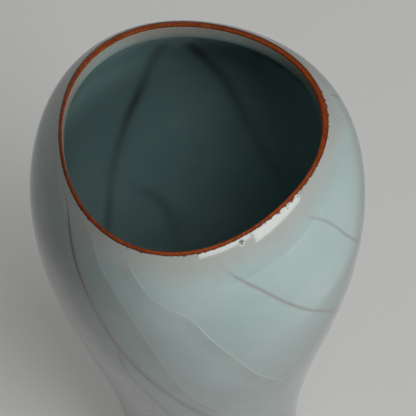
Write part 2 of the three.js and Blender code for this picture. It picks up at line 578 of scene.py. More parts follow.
class Effects:
    """Builds and keeps the shared node groups."""

    side_blend: float = 0.9
    noise_low: float = 0.3
    noise_high: float = 0.7
    speck_range: float = 0.02
    speck_edge: float = 0.42
    speck_core: float = 0.2

    def __init__(self) -> None:
        """Builds every effect."""
        self.trees = {
            Effect.CRACK_LINE: self.crack_line(),
            Effect.IRON_EDGE: self.iron_edge(),
            Effect.CLOUDS: self.clouds(),
            Effect.GRAIN: self.grain(),
        }

    def __getitem__(self, effect: Effect) -> bpy.types.NodeTree:
        """Gives an effect's node group."""
        return self.trees[effect]

    @staticmethod
    def start(
        effect: Effect, inputs: dict[str, str], outputs: dict[str, str]
    ) -> tuple[Sheet, dict[str, Socket]]:
        """Opens a new group with named inputs and outputs.

        Args:
            effect: The effect, whose value is the group's name.
            inputs: Socket kinds by input name.
            outputs: Socket kinds by output name.

        Returns:
            A sheet to write in, and the input sockets by name.
        """
        tree = bpy.data.node_groups.new(effect.value, "ShaderNodeTree")
        for name, kind in inputs.items():
            tree.interface.new_socket(name, in_out="INPUT", socket_type=kind)
        for name, kind in outputs.items():
            tree.interface.new_socket(name, in_out="OUTPUT", socket_type=kind)
        source = tree.nodes.new("NodeGroupInput")
        return Sheet(tree), {name: source.outputs[name] for name in inputs}

    @staticmethod
    def end(sheet: Sheet, **results: Socket) -> bpy.types.NodeTree:
        """Wires the results to the group's outputs."""
        target = sheet.tree.nodes.new("NodeGroupOutput")
        for name, socket in results.items():
            sheet.tree.links.new(socket, target.inputs[name])
        return sheet.tree

    def crack_line(self) -> bpy.types.NodeTree:
        """Turns a crack field into a soft line, strength times e to the minus square of offset over width.

        Spread widens the line. Side is the line's half where the offset is below zero, which carries
        painted shade along that side of the crack.
        """
        inputs = {"Field": "NodeSocketVector", "Spread": "NodeSocketFloat"}
        outputs = {"Line": "NodeSocketFloat", "Side": "NodeSocketFloat"}
        sheet, given = self.start(Effect.CRACK_LINE, inputs, outputs)
        parts = sheet.node("ShaderNodeSeparateXYZ", {0: given["Field"]}).outputs
        offset = sheet.math("DIVIDE", parts[0], parts[2])
        away = sheet.math("DIVIDE", offset, given["Spread"])
        fall = sheet.math("EXPONENT", sheet.times(sheet.times(away, away), -1.0))
        line = sheet.times(fall, parts[1])
        side = sheet.times(line, sheet.between(offset, self.side_blend, -self.side_blend))
        return self.end(sheet, Line=line, Side=side)

    def iron_edge(self) -> bpy.types.NodeTree:
        """Shows the clay's iron where glaze runs out at an edge: 1 past a ragged line at the Edge height."""
        inputs = {
            "Place": "NodeSocketVector",
            "Edge": "NodeSocketFloat",
            "Softness": "NodeSocketFloat",
            "Ragged": "NodeSocketFloat",
            "Size": "NodeSocketFloat",
        }
        sheet, given = self.start(Effect.IRON_EDGE, inputs, {"Mask": "NodeSocketFloat"})
        noise = sheet.noise(given["Place"], given["Size"], detail=3.0)
        swing = sheet.times(sheet.math("SUBTRACT", noise, 0.5), given["Ragged"])
        past = sheet.math("SUBTRACT", sheet.plus(sheet.height(given["Place"]), swing), given["Edge"])
        share = sheet.math("DIVIDE", past, given["Softness"])
        return self.end(sheet, Mask=sheet.between(share, -0.5, 0.5))

    def clouds(self) -> bpy.types.NodeTree:
        """Gives soft clouds between 0 and 1, with features about as large as Size."""
        inputs = {"Place": "NodeSocketVector", "Size": "NodeSocketFloat"}
        sheet, given = self.start(Effect.CLOUDS, inputs, {"Cloud": "NodeSocketFloat"})
        noise = sheet.noise(given["Place"], given["Size"], detail=3.0)
        return self.end(sheet, Cloud=sheet.between(noise, self.noise_low, self.noise_high))

    def grain(self) -> bpy.types.NodeTree:
        """Gives fine grain as a Tone between 0 and 1, and sparse round Specks."""
        inputs = {"Place": "NodeSocketVector", "Size": "NodeSocketFloat", "Few": "NodeSocketFloat"}
        outputs = {"Tone": "NodeSocketFloat", "Specks": "NodeSocketFloat"}
        sheet, given = self.start(Effect.GRAIN, inputs, outputs)
        noise = sheet.noise(given["Place"], given["Size"], detail=4.0)
        tone = sheet.between(noise, self.noise_low, self.noise_high)
        scale = sheet.scale(given["Size"])
        cells = sheet.node("ShaderNodeTexVoronoi", {"Vector": given["Place"], "Scale": scale})
        cell_value = sheet.node("ShaderNodeSeparateColor", {0: cells.outputs["Color"]}).outputs[0]
        chosen = sheet.between(cell_value, given["Few"], sheet.plus(given["Few"], self.speck_range))
        dot = sheet.between(cells.outputs["Distance"], self.speck_edge, self.speck_core)
        return self.end(sheet, Tone=tone, Specks=sheet.times(chosen, dot))


@dataclass(frozen=True)
class Finish:
    """What every finish has: a name and the record's material slot."""

    name: str
    slot: str

    def begin(self) -> tuple[bpy.types.Material, Sheet, bpy.types.Node]:
        """Makes an empty material with one Principled shader, and gives it with its sheet and shader."""
        material = bpy.data.materials.new(self.name)
        sheet = blank_sheet(material)
        shader = sheet.node("ShaderNodeBsdfPrincipled")
        sheet.node("ShaderNodeOutputMaterial", {"Surface": shader.outputs[0]})
        return material, sheet, shader

    def wire(self, sheet: Sheet, shader: bpy.types.Node, **results: Socket) -> None:
        """Feeds the shader's inputs; an underscore stands for a space in a name."""
        for name, socket in results.items():
            sheet.tree.links.new(socket, shader.inputs[name.replace("_", " ")])

    def bump(self, sheet: Sheet, height: Value, depth: float, under: Socket | None = None) -> Socket:
        """Adds relief as deep as depth, in metres, for a height from 0 to 1, over other relief if given."""
        inputs = {"Height": height, "Distance": depth, "Strength": 1.0}
        if under is not None:
            inputs["Normal"] = under
        return sheet.node("ShaderNodeBump", inputs).outputs[0]


@dataclass(frozen=True)
class Celadon(Finish):
    """Thick celadon glaze with a crackle, thin and grey below the lip, and brown where it runs out."""

    body: Colour
    deep: Colour
    thin: Colour
    iron: Colour
    # Colour of the stained cracks, and of the painted shade beside the fresh ones.
    stain_and_shade: Colour
    fresh: Colour
    thin_from: float
    thin_full: float
    edge: float
    pool_from: float
    stain_share: float = 0.48
    fresh_share: float = 0.4
    # Painted shade along one side of each fresh crack.
    side_shade_share: float = 0.14
    # Painted shade: the colour darkens towards this tone where the glaze is seen edge-on.
    grazing_shade_share: float = 0.65
    grazing_shade_tone: Colour = srgb(14, 22, 22)
    thin_rough: float = 0.0
    worn_edge: str = ""
    pit: Vector | None = None
    pit_radius: float = 1.4 * MM
    # Painted shade in the pinhole.
    pit_shade: Colour = srgb(76, 84, 70)
    pit_shade_share: float = 0.9
    pit_core: float = 0.25
    gloss: float = 0.5
    plain_rough: float = 0.07
    bare_rough: float = 0.35
    # Facing at which the painted edge-on shade begins.
    grazing_shade_from: float = 0.62
    grain_size: float = 0.7 * MM
    grain_depth: float = 0.10 * MM
    mottling: float = 0.25
    wave_size: float = 9 * MM
    wave_depth: float = 0.02 * MM
    border_size: float = 24 * MM
    border_swing: float = 12 * MM
    broad_cloud: float = 55 * MM
    broad_share: float = 0.7
    small_cloud: float = 9 * MM
    small_share: float = 0.2
    pool_height: float = 22 * MM
    pool_share: float = 0.7
    stain_spread: float = 1.0
    # Width of the painted shade beside the fresh cracks.
    side_shade_spread: float = 18.0
    fresh_spread: float = 0.9
    raggedness: float = 0.5 * MM
    edge_softness: float = 0.2 * MM
    edge_grain: float = 0.9 * MM

    def material(self, effects: Effects) -> bpy.types.Material:
        """Builds the glaze.

        Args:
            effects: The shared node groups.

        Returns:
            The material.
        """
        material, sheet, shader = self.begin()
        place = sheet.place()
        height = sheet.height(place)
        grain = sheet.group(effects[Effect.GRAIN], Place=place, Size=self.grain_size).outputs["Tone"]
        thin = self.thinness(sheet, place, height)
        colour = self.depth_colour(sheet, effects, place, height)
        mottle = sheet.plus(sheet.times(grain, self.mottling), 1 - self.mottling)
        mottled = sheet.times(thin, mottle)
        colour = sheet.mix(mottled, colour, self.thin)
        colour = self.cracked(sheet, effects, colour)
        bare = self.bare_edge(sheet, effects, place)
        colour = sheet.mix(bare, colour, self.iron)
        # Painted shade in the pinhole.
        if self.pit is not None:
            colour = self.shade_pit(sheet, place, colour)
        # Painted shade: the colour darkens where the surface turns edge-on to the camera.
        facing = sheet.node("ShaderNodeLayerWeight", {"Blend": 0.5}).outputs["Facing"]
        grazing_shade = sheet.times(sheet.between(facing, self.grazing_shade_from, 1.0), self.grazing_shade_share)
        colour = sheet.mix(grazing_shade, colour, self.grazing_shade_tone)
        rough = sheet.plus(sheet.times(bare, self.bare_rough), self.plain_rough)
        rough = sheet.plus(rough, sheet.times(thin, self.thin_rough))
        normal = self.bump(sheet, sheet.noise(place, self.wave_size, detail=0.0), self.wave_depth)
        normal = self.bump(sheet, sheet.times(grain, bare), self.grain_depth, normal)
        self.wire(sheet, shader, Base_Color=colour, Roughness=rough, Normal=normal)
        shader.inputs["Specular IOR Level"].default_value = self.gloss
        return material

    def thinness(self, sheet: Sheet, place: Socket, height: Socket) -> Socket:
        """Gives 1 where the glaze is thin by the lip and 0 below, past a wavy border."""
        swing = sheet.math("SUBTRACT", sheet.noise(place, self.border_size), 0.5)
        waver = sheet.times(swing, self.border_swing)
        return sheet.between(sheet.plus(height, waver), self.thin_from, self.thin_full)

    def depth_colour(self, sheet: Sheet, effects: Effects, place: Socket, height: Socket) -> Socket:
        """Gives the full glaze's colour, with clouds and the pool above the foot."""
        broad = sheet.group(effects[Effect.CLOUDS], Place=place, Size=self.broad_cloud).outputs["Cloud"]
        small = sheet.group(effects[Effect.CLOUDS], Place=place, Size=self.small_cloud).outputs["Cloud"]
        broad = sheet.times(broad, self.broad_share)
        share = sheet.plus(broad, sheet.times(small, self.small_share))
        colour = sheet.mix(share, self.body, self.deep)
        pool = sheet.between(height, self.pool_from, self.pool_from - self.pool_height)
        return sheet.mix(sheet.times(pool, self.pool_share), colour, self.deep)

    def cracked(self, sheet: Sheet, effects: Effects, colour: Socket) -> Socket:
        """Draws the stained lines, and the fresh ones with painted shade along one side of them."""

        def line(kind: str, spread: float) -> bpy.types.NodeOutputs:
            """Gives the outputs for one family of cracks."""
            return sheet.group(effects[Effect.CRACK_LINE], Field=sheet.stored(kind), Spread=spread).outputs

        main = line("stained", self.stain_spread)["Line"]
        branches = line("branches", self.stain_spread)["Line"]
        stained = sheet.math("MAXIMUM", main, branches)
        colour = sheet.mix(sheet.times(stained, self.stain_share), colour, self.stain_and_shade)
        # Painted shade: one side of each fresh crack darkens towards the stain colour.
        side = line("fresh", self.side_shade_spread)["Side"]
        colour = sheet.mix(sheet.times(side, self.side_shade_share), colour, self.stain_and_shade)
        fresh = sheet.times(line("fresh", self.fresh_spread)["Line"], self.fresh_share)
        return sheet.mix(fresh, colour, self.fresh)

    def bare_edge(self, sheet: Sheet, effects: Effects, place: Socket) -> Socket:
        """Gives 1 where the glaze has run off the edge; where the edge is worn, its line is more ragged."""
        ragged: Value = self.raggedness
        if self.worn_edge:
            ragged = sheet.plus(sheet.stored(self.worn_edge, "Fac"), ragged)
        edge = sheet.group(
            effects[Effect.IRON_EDGE],
            Place=place,
            Edge=self.edge,
            Softness=self.edge_softness,
            Ragged=ragged,
            Size=self.edge_grain,
        )
        return edge.outputs["Mask"]

    def shade_pit(self, sheet: Sheet, place: Socket, colour: Socket) -> Socket:
        """Paints shade into the pinhole, darkest in its middle."""
        away = sheet.node("ShaderNodeVectorMath", {0: place, 1: self.pit}, operation="DISTANCE")
        inside = sheet.between(away.outputs["Value"], self.pit_radius, self.pit_core * self.pit_radius)
        return sheet.mix(sheet.times(inside, self.pit_shade_share), colour, self.pit_shade)


@dataclass(frozen=True)
class Iron(Finish):
    """Iron-brown lip: orange along its middle, dark at both sides, with grain and a few pale specks that are
    painted glints.
    """

    dark: Colour
    rust: Colour
    glow: Colour
    # Colour of the painted glints.
    pale: Colour
    grain_size: float = 0.5 * MM
    few: float = 0.975
    cloud_size: float = 6 * MM
    grain_share: float = 0.7
    cloud_share: float = 0.4
    tone_drop: float = 0.1
    edge_from: float = 0.55
    edge_share: float = 0.6
    painted_glint_share: float = 0.7
    dark_rough: float = 0.6
    glow_rough: float = 0.4
    relief: float = 0.12 * MM
    gloss: float = 0.12

    def material(self, effects: Effects) -> bpy.types.Material:
        """Builds the lip's finish from the shared grain and the place across the lip."""
        material, sheet, shader = self.begin()
        place = sheet.place()
        across = sheet.math("ABSOLUTE", sheet.stored("across", "Fac"))
        fine = sheet.group(effects[Effect.GRAIN], Place=place, Size=self.grain_size, Few=self.few)
        broad = sheet.group(effects[Effect.CLOUDS], Place=place, Size=self.cloud_size).outputs["Cloud"]
        fine_tone = sheet.times(fine.outputs["Tone"], self.grain_share)
        tone = sheet.plus(fine_tone, sheet.times(broad, self.cloud_share))
        glowing = sheet.math("SUBTRACT", tone, self.tone_drop, clamp=True)
        colour = sheet.mix(glowing, self.rust, self.glow)
        edge = sheet.between(across, self.edge_from, 1.0)
        colour = sheet.mix(sheet.times(edge, self.edge_share), colour, self.dark)
        # Painted glints: sparse pale specks in the colour.
        colour = sheet.mix(sheet.times(fine.outputs["Specks"], self.painted_glint_share), colour, self.pale)
        rough = sheet.between(fine.outputs["Tone"], 0.0, 1.0, self.dark_rough, self.glow_rough)
        normal = self.bump(sheet, fine.outputs["Tone"], self.relief)
        self.wire(sheet, shader, Base_Color=colour, Roughness=rough, Normal=normal)
        shader.inputs["Specular IOR Level"].default_value = self.gloss
        return material


@dataclass(frozen=True)
class Clay(Finish):
    """Bare stoneware: turning lines, sand and clouds of a darker tone."""

    light: Colour
    dark: Colour
    sand: Colour
    grain_size: float = 0.6 * MM
    few: float = 0.9
    cloud_size: float = 14 * MM
    grain_share: float = 0.5
    cloud_share: float = 0.5
    sand_share: float = 0.6
    relief: float = 0.2 * MM
    roughness: float = 0.8

    def material(self, effects: Effects) -> bpy.types.Material:
        """Builds the bare clay from grain, clouds and rings by height."""
        material, sheet, shader = self.begin()
        place = sheet.place()
        fine = sheet.group(effects[Effect.GRAIN], Place=place, Size=self.grain_size, Few=self.few)
        broad = sheet.group(effects[Effect.CLOUDS], Place=place, Size=self.cloud_size).outputs["Cloud"]
        fine_tone = sheet.times(fine.outputs["Tone"], self.grain_share)
        tone = sheet.plus(fine_tone, sheet.times(broad, self.cloud_share))
        colour = sheet.mix(tone, self.light, self.dark)
        colour = sheet.mix(sheet.times(fine.outputs["Specks"], self.sand_share), colour, self.sand)
        normal = self.bump(sheet, fine.outputs["Tone"], self.relief)
        self.wire(sheet, shader, Base_Color=colour, Normal=normal)
        shader.inputs["Roughness"].default_value = self.roughness
        return material


def dress(piece: bpy.types.Object, finish: Finish, effects: Effects) -> None:
    """Gives a piece its material."""
    piece.data.materials.clear()
    piece.data.materials.append(finish.material(effects))


STAINED_OUTSIDE = (
    Crack(((189, 0.2995), (204, 0.298), (213, 0.2945), (222, 0.2855), (229.5, 0.270), (236.5, 0.245),
           (245.5, 0.220), (255, 0.195), (267.5, 0.166), (280, 0.138), (292, 0.110), (302, 0.080),
           (309, 0.048)),
          half_width=0.45 * MM, end_width=3.4 * MM, fade_in=24 * MM, strength=1.5),
    Crack(((277, 0.2975), (284, 0.2895), (292.5, 0.2795), (301, 0.266), (310, 0.2505), (320, 0.231),
           (332, 0.205), (342, 0.176), (350, 0.145), (356, 0.112), (366, 0.080), (378, 0.056)),
          half_width=0.6 * MM, end_width=0.95 * MM, fade_in=18 * MM, strength=0.75),
    Crack(((320, 0.2935), (327, 0.2845), (332, 0.2705), (338, 0.2555), (343, 0.2425), (353, 0.220),
           (363, 0.192), (370, 0.160), (380, 0.128), (388, 0.098)),
          half_width=0.55 * MM, end_width=0.9 * MM, fade_in=8 * MM, strength=0.7),
    spiral(62, 0.297, 0.050, 112, 4, half_width=0.55 * MM, end_width=1.0 * MM),
    spiral(112, 0.296, 0.070, 96, 5, half_width=0.55 * MM, end_width=1.0 * MM, fade_in=12 * MM),
    spiral(148, 0.292, 0.110, 74, 4, half_width=0.55 * MM, end_width=0.9 * MM, strength=0.8),
)

BRANCHES_OUTSIDE = (
    Crack(((238.5, 0.240), (237.8, 0.228), (239, 0.213), (242.8, 0.195), (248, 0.175), (254, 0.152),
           (260.5, 0.125)),
          half_width=0.8 * MM, end_width=2.0 * MM, fade_in=8 * MM, strength=1.0),
    Crack(((16, 0.296), (20, 0.282), (30, 0.266), (36, 0.246), (47, 0.226), (58, 0.200), (64, 0.170)),
          fade_in=4 * MM),
    Crack(((88, 0.240), (80, 0.222), (75, 0.200), (66, 0.182), (60, 0.160)), strength=0.8, fade_in=3 * MM),
    Crack(((155, 0.205), (148, 0.188), (144, 0.166), (136, 0.148), (131, 0.124)),
          strength=0.8, fade_in=3 * MM),
    Crack(((316, 0.150), (306, 0.138), (299, 0.118), (288, 0.102)), strength=0.7, fade_in=4 * MM),
    Crack(((176, 0.150), (187, 0.128), (192, 0.100), (202, 0.072), (206, 0.044)),
          strength=0.8, fade_in=10 * MM),
)

FRESH_OUTSIDE = (
    Crack(((219, 0.299), (227, 0.2965), (233, 0.291), (240.5, 0.283), (246, 0.2715), (251, 0.253),
           (257.5, 0.224), (264, 0.196), (275, 0.168), (284, 0.140)), half_width=0.38 * MM),
    Crack(((242.5, 0.2975), (248.5, 0.291), (256, 0.283), (266, 0.2755), (272, 0.2615), (279.5, 0.2425),
           (288.5, 0.2155), (300, 0.188), (309, 0.160), (321, 0.132)), half_width=0.38 * MM),
    Crack(((7, 0.299), (8.5, 0.292), (13, 0.284)), half_width=0.35 * MM, strength=0.6, fade_out=6 * MM),
    Crack(((180.5, 0.297), (182, 0.290), (186, 0.281), (196, 0.262), (203, 0.240), (212, 0.215),
           (218, 0.186)),
          half_width=0.4 * MM, strength=0.6),
    spiral(36, 0.298, 0.120, 80, 4, half_width=0.38 * MM),
    spiral(88, 0.298, 0.100, 88, 5, half_width=0.38 * MM),
    spiral(132, 0.298, 0.150, 66, 4, half_width=0.38 * MM),
    spiral(300, 0.130, 0.030, 52, 3, half_width=0.38 * MM),
    spiral(20, 0.120, 0.028, 50, 3, half_width=0.38 * MM),
    spiral(228, 0.140, 0.036, 52, 3, half_width=0.38 * MM),
)

INSIDE = {"half_width": 2.6 * MM, "end_width": 3.5 * MM, "fade_out": 180 * MM}

STAINED_INSIDE = (
    Crack(((97, 0.282), (101.5, 0.268), (106.5, 0.256), (110.5, 0.244), (116.5, 0.231), (122, 0.219),
           (127.5, 0.207), (132, 0.196), (137.5, 0.184), (146, 0.165), (154, 0.140), (165, 0.110),
           (172, 0.078)),
          fade_in=8 * MM, strength=0.85, **INSIDE),
    spiral(176, 0.286, 0.080, 84, 4, **INSIDE),
    spiral(236, 0.288, 0.070, 92, 5, **INSIDE),
    spiral(296, 0.286, 0.090, 82, 4, **INSIDE),
    spiral(2, 0.284, 0.120, 60, 4, **INSIDE),
)

BRANCHES_INSIDE = (
    Crack(((90, 0.280), (86.5, 0.266), (81, 0.253), (76, 0.2425), (71.5, 0.230), (67, 0.218), (60.5, 0.206),
           (54, 0.198), (46, 0.188), (36, 0.172), (30, 0.150)), fade_in=8 * MM, strength=1.2, **INSIDE),
    Crack(((132, 0.1965), (124, 0.188), (116, 0.1775), (109, 0.166), (105, 0.1525), (103, 0.1395),
           (101.5, 0.126), (95, 0.105), (92, 0.080)), fade_in=30 * MM, **INSIDE),
)


@dataclass
class OuterGlaze:
    """The coat outside: a fine face with the crackle and the pinhole, rounded ends and a plain back."""

    form: VaseForm
    columns: int = 420
    ring_step: float = 1.9 * MM
    nose: float = 1.2 * MM
    nose_steps: int = 6
    taper_steps: int = 36
    back_step: float = 16 * MM
    ripple: float = 0.10 * MM
    ripple_fade: float = 25 * MM
    slow_length: float = 34 * MM
    slow_share: float = 0.6
    ring_length: float = 16 * MM
    ring_share: float = 0.1
    ring_stretch: float = 0.15
    pool: float = 0.35 * MM
    pool_height: float = 3 * MM
    pit_turn: float = radians(290.4)
    pit_drop: float = 1.3 * MM
    pit_radius: float = 1.1 * MM
    pit_depth: float = 0.17 * MM
    pit_zone: float = 1.6 * MM
    pit_step: float = 0.18 * MM
    worn_turn: float = radians(318.0)
    worn_spread: float = radians(14.0)
    worn: float = 7 * MM
    piece: bpy.types.Object = field(init=False)

    def face_heights(self) -> Array:
        """Gives the heights of the face's even rings, from above the foot to where it starts to thin."""
        low = self.form.outer_bottom + self.nose
        high = self.form.outer_top - self.form.outer_taper
        return np.linspace(low, high, round((high - low) / self.ring_step))

    def turns(self) -> Array:
        """Gives the columns' angles, close together at the pinhole."""
        even = even_turns(self.columns)
        zone = self.pit_zone / self.form.mouth_radius
        step = self.pit_step / self.form.mouth_radius
        close = np.arange(self.pit_turn - zone, self.pit_turn + zone, step)
        plain = even[(even < close[0] - step) | (even > close[-1] + step)]
        return np.sort(np.concatenate([plain, close]))

    def thickness_change(self, points: Array, heights: Array) -> Array:
        """Gives how far the face stands out from the smooth form: ripples and the pool at the foot."""
        slow = ripples(points, self.slow_length, seed=3)
        flattened = points * np.array([self.ring_stretch, self.ring_stretch, 1.0])
        rings = ripples(flattened, self.ring_length, seed=4)
        change = -self.ripple * (1 + self.slow_share * slow + self.ring_share * rings)
        change *= smooth(self.form.outer_top - heights, 0, self.ripple_fade)[:, None]
        rise = np.clip(heights - self.form.outer_bottom, 0, None) / self.pool_height
        return change + (self.pool * rise * np.exp(1 - rise))[:, None]

    def pit(self, points: Array) -> Array:
        """Gives the pinhole's depth: the square of 1 less the square of the distance over its radius."""
        away = np.linalg.norm(points - np.array(self.pit_place()), axis=-1) / self.pit_radius
        return self.pit_depth * np.where(away < 1, (1 - away**2) ** 2, 0)

    def build(self) -> None:
        """Builds the coat as one closed skin and measures its crackle."""
        form = self.form
        turns = self.turns()
        face_heights = self.face_heights()
        face = np.column_stack([form.outer_radius(face_heights), face_heights])
        shares = np.sin(quarter_turn(self.taper_steps))
        outline = np.vstack([face, self.end_outline(shares, form.outer_top, form.outer_taper)])
        reach = np.concatenate([np.zeros(len(face)), shares**2])
        radii = outline[:, :1] - reach[:, None] * form.cover(turns)[None, :]
        plain = form.press(turns[None, :], radii, outline[:, 1:])
        seen = plain + self.thickness_change(plain, outline[:, 1])[..., None] * level_ways(turns)
        seen = seen - self.pit(plain)[..., None] * grid_normals(plain)
        back_heights = np.arange(form.outer_top - self.back_step, form.outer_bottom, -self.back_step)
        back = np.column_stack([form.coat_back(back_heights), back_heights])
        shares = np.sin(quarter_turn(self.nose_steps))
        bottom = self.end_outline(shares, form.outer_bottom, -self.nose, fall=0.5)[::-1]
        rest = grid_points(form, turns, np.vstack([back, bottom]))
        self.piece = turned_mesh("outer_glaze_skin", np.concatenate([seen, rest]))
        for family in (
            Crackle("stained", STAINED_OUTSIDE, fade_near=3.0 * MM, fade_far=4.5 * MM),
            Crackle("branches", BRANCHES_OUTSIDE, fade_near=3.0 * MM, fade_far=4.5 * MM),
            Crackle("fresh", FRESH_OUTSIDE, fade_near=3.0 * MM, fade_far=8.0 * MM, reach=9 * MM),
        ):
            marks = family.measure(form, form.outer_radius, turns, outline[:, 1], plain)
            mark(self.piece, family.name, marks)
        worn = self.worn * np.exp(-((wrap(turns - self.worn_turn) / self.worn_spread) ** 2))
        mark(self.piece, "worn", np.broadcast_to(worn[None, :, None], (*plain.shape[:2], 1)))
        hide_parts("outer_glaze")

    def end_outline(self, shares: Array, end: float, length: float, fall: float = 1.0) -> Array:
        """Gives radii and heights where the coat thins out towards its end.

        Args:
            shares: How far along the thinning each ring lies, up to 1 at the end.
            end: The end's height.
            length: The height over which the coat thins; below zero at the foot.
            fall: The thickness goes with 1 less the square of the share, to this power. A half makes the
                end round.

        Returns:
            One row of radius and height for each share.
        """
        heights = end - length * (1 - shares)
        coat = self.form.outer_coat + self.form.bond_gap
        return np.column_stack([self.form.clay_outside(heights) + coat * (1 - shares**2) ** fall, heights])

    def pit_place(self) -> Vector:
        """Gives the middle of the pinhole, on the thin glaze by the lip."""
        form = self.form
        turn = np.array(self.pit_turn)
        share = 1 - self.pit_drop / form.outer_taper
        radius, height = self.end_outline(np.array([share]), form.outer_top, form.outer_taper)[0]
        return Vector(form.press(turn, radius - form.cover(turn) * share**2, np.array(height)).tolist())

    def finish(self) -> Celadon:
        """Gives the outer glaze's finish."""
        return Celadon(
            name="outer_celadon_glaze",
            slot="outer_celadon",
            body=srgb(163, 179, 177),
            deep=srgb(148, 167, 165),
            thin=srgb(160, 162, 157),
            iron=srgb(98, 42, 18),
            stain_and_shade=srgb(112, 84, 78),
            fresh=srgb(196, 210, 207),
            thin_from=self.form.lip_top - 12 * MM,
            thin_full=self.form.lip_top - 2 * MM,
            edge=self.form.outer_top - 0.05 * MM,
            pool_from=self.form.outer_bottom + 26 * MM,
            worn_edge="worn",
            pit=self.pit_place(),
        )


@dataclass
class InnerGlaze:
    """The coat inside: floor, corner and wall, with broad soft cracks."""

    form: VaseForm
    columns: int = 264
    step: float = 1.6 * MM
    roll_step: float = 0.6 * MM
    taper_steps: int = 14
    back_step: float = 16 * MM
    ripple: float = 0.12 * MM
    ripple_length: float = 30 * MM
    ripple_fade: float = 20 * MM
    piece: bpy.types.Object = field(init=False)

    def cup_outline(self, offset: float, top: float, step: float, roll_step: float) -> Array:
        """Gives the inside of the cup from near the floor's middle up its wall, set in from the clay.

        The floor is level, a quarter circle turns it up, and the wall follows the clay's inside, with
        closer rings along the roll.
        """
        form = self.form
        corner_height = form.floor_top + form.corner
        centre = float(form.clay_inside(np.array(corner_height))) - form.corner
        reach = form.corner - offset
        floor = np.linspace(0, centre, max(round(centre / step), 3), endpoint=False)[1:]
        turn = np.linspace(-pi / 2, 0, max(round(reach * pi / 2 / step), 5))
        roll_bottom = form.lip_top - form.roll_depth - form.roll_reach
        plain_count = round((roll_bottom - corner_height) / step)
        plain_heights = np.linspace(corner_height, roll_bottom, plain_count)[1:]
        roll_heights = np.linspace(roll_bottom, top, round((top - roll_bottom) / roll_step) + 1)[1:]
        wall_heights = np.concatenate([plain_heights, roll_heights])
        return np.vstack([
            np.column_stack([floor, np.full_like(floor, form.floor_top + offset)]),
            np.column_stack([centre + reach * np.cos(turn), corner_height + reach * np.sin(turn)]),
            np.column_stack([form.clay_inside(wall_heights) - offset, wall_heights]),
        ])

    def build(self) -> None:
        """Builds the coat from its back, over its top and down its face, and measures its crackle."""
        form = self.form
        turns = even_turns(self.columns)
        coat = form.bond_gap + form.inner_coat
        end = form.inner_top + form.inner_climb
        back = self.cup_outline(0.0, end, self.back_step, form.inner_taper / 2)
        turn = quarter_turn(self.taper_steps)[::-1]
        nose_heights = end - form.inner_taper * (1 - np.sin(turn))
        nose_radii = form.clay_inside(nose_heights) - coat * np.cos(turn)
        nose_radii = nose_radii + form.inner_cover * np.sin(turn) ** 2
        face = self.cup_outline(coat, end - form.inner_taper, self.step, self.roll_step)[::-1]
        plain = grid_points(form, turns, face)
        fade = smooth(face[:, 1], form.floor_top + form.corner, form.floor_top + 2 * form.corner)
        fade = fade * smooth(form.inner_top - face[:, 1], 0, self.ripple_fade)
        change = self.ripple * ripples(plain, self.ripple_length, seed=5) * fade[:, None]
        rings = np.concatenate([
            grid_points(form, turns, back),
            grid_points(form, turns, np.column_stack([nose_radii, nose_heights])),
            plain - change[..., None] * level_ways(turns),
        ])
        poles = (np.array([0, 0, form.floor_top]), np.array([0, 0, form.floor_top + coat]))
        self.piece = turned_mesh("inner_glaze_skin", rings, poles)
        blank = np.tile(NO_CRACK, (len(rings) - len(face), self.columns, 1))
        for name, cracks in (("stained", STAINED_INSIDE), ("branches", BRANCHES_INSIDE), ("fresh", ())):
            family = Crackle(name, cracks, fade_near=7 * MM, fade_far=11 * MM, reach=14 * MM)
            marks = family.measure(form, form.hollow_radius, turns, face[:, 1], plain)
            marks[face[:, 1] < form.floor_top + form.corner] = (0.0, 0.0, MM)
            mark(self.piece, name, np.concatenate([blank, marks]))
        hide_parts("inner_glaze")

    def finish(self) -> Celadon:
        """Gives the inner glaze's finish, darker than the outer one's: painted shade inside the vase."""
        return Celadon(
            name="inner_celadon_glaze",
            slot="inner_celadon",
            # Painted shade: body, deep and thin are darker than the outer glaze's colours.
            body=srgb(136, 164, 163),
            deep=srgb(122, 154, 154),
            thin=srgb(128, 120, 109),
            iron=srgb(104, 48, 22),
            stain_and_shade=srgb(60, 56, 54),
            fresh=srgb(180, 200, 196),
            thin_from=self.form.inner_top - 10 * MM,
            thin_full=self.form.inner_top + 1 * MM,
            edge=self.form.inner_top + self.form.inner_climb - 0.05 * MM,
            pool_from=self.form.floor_top + 50 * MM,
            stain_share=0.55,
            # Less painted edge-on shade inside.
            grazing_shade_share=0.3,
            thin_rough=0.2,
        )


